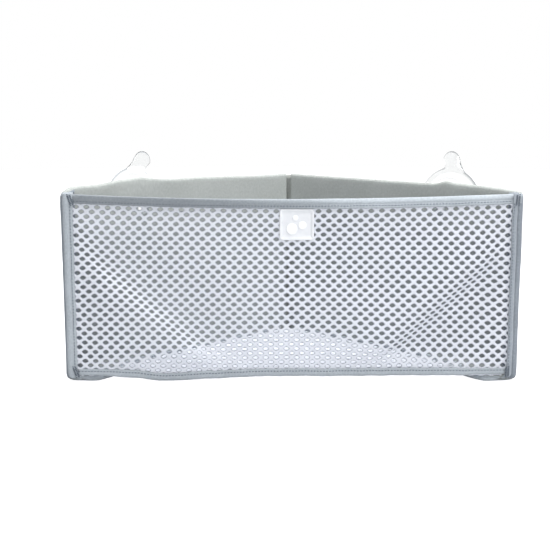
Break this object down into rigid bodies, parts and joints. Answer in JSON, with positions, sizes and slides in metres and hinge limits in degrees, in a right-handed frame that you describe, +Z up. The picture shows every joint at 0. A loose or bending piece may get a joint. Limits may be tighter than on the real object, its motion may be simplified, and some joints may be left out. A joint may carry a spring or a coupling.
{
  "type": "bath toy organizer",
  "caption": "Triangular corner bin with stiffened fabric walls, a net front and a net bottom, bound edges, and suction cups with pull tabs that hold it in a corner.",
  "frame": {"origin": "middle of the space that the part takes, on the floor that its wall hems stand on", "axes": "+X to the right along the front, +Y from the net front to the back corner, +Z up"},
  "size_m": [0.382, 0.1936, 0.1914],
  "materials": {
    "wall_fabric": "fine plain-woven polyester, warm grey, matt",
    "board": "stiff plastic sheet, hidden in the wall",
    "binding_tape": "folded ribbed tape, blue-grey, one stitch row",
    "net": "white knitted net with oval holes",
    "eyelet": "moulded, grey",
    "clear_vinyl": "clear soft vinyl, glossy",
    "label": "soft pale grey patch, satin, with no wording"
  },
  "bodies": {
    "left_wall": {"left_wall_cover": "wall_fabric", "left_stiffener_board": "board", "left_bottom_binding": "binding_tape", "left_eyelet": "eyelet", "left_eyelet_washer": "eyelet", "left_side_binding": "binding_tape", "front_mesh": "net", "bottom_mesh": "net", "top_binding": "binding_tape", "front_bottom_binding": "binding_tape", "label": "label", "back_corner_web": "wall_fabric"},
    "right_wall": {"right_wall_cover": "wall_fabric", "right_stiffener_board": "board", "right_bottom_binding": "binding_tape", "right_eyelet": "eyelet", "right_eyelet_washer": "eyelet", "right_side_binding": "binding_tape"},
    "left_cup": {"left_suction_cup": "clear_vinyl"},
    "right_cup": {"right_suction_cup": "clear_vinyl"}
  },
  "joints": [
    {"name": "wall_fold", "type": "hinge", "parent": "left_wall", "child": "right_wall", "pos_m": [0, 0.09224, 0], "axis": [0, 0, 1], "range_deg": [-82, 0], "deforming": ["front_mesh", "bottom_mesh", "top_binding", "front_bottom_binding", "label", "back_corner_web"]},
    {"name": "left_cup_swivel", "type": "hinge", "parent": "left_wall", "child": "left_cup", "pos_m": [-0.13435, -0.0337, 0.142], "axis": [0.7071, -0.7071, 0], "continuous": true},
    {"name": "right_cup_swivel", "type": "hinge", "parent": "right_wall", "child": "right_cup", "pos_m": [0.13435, -0.0337, 0.142], "axis": [-0.7071, -0.7071, 0], "continuous": true}
  ]
}
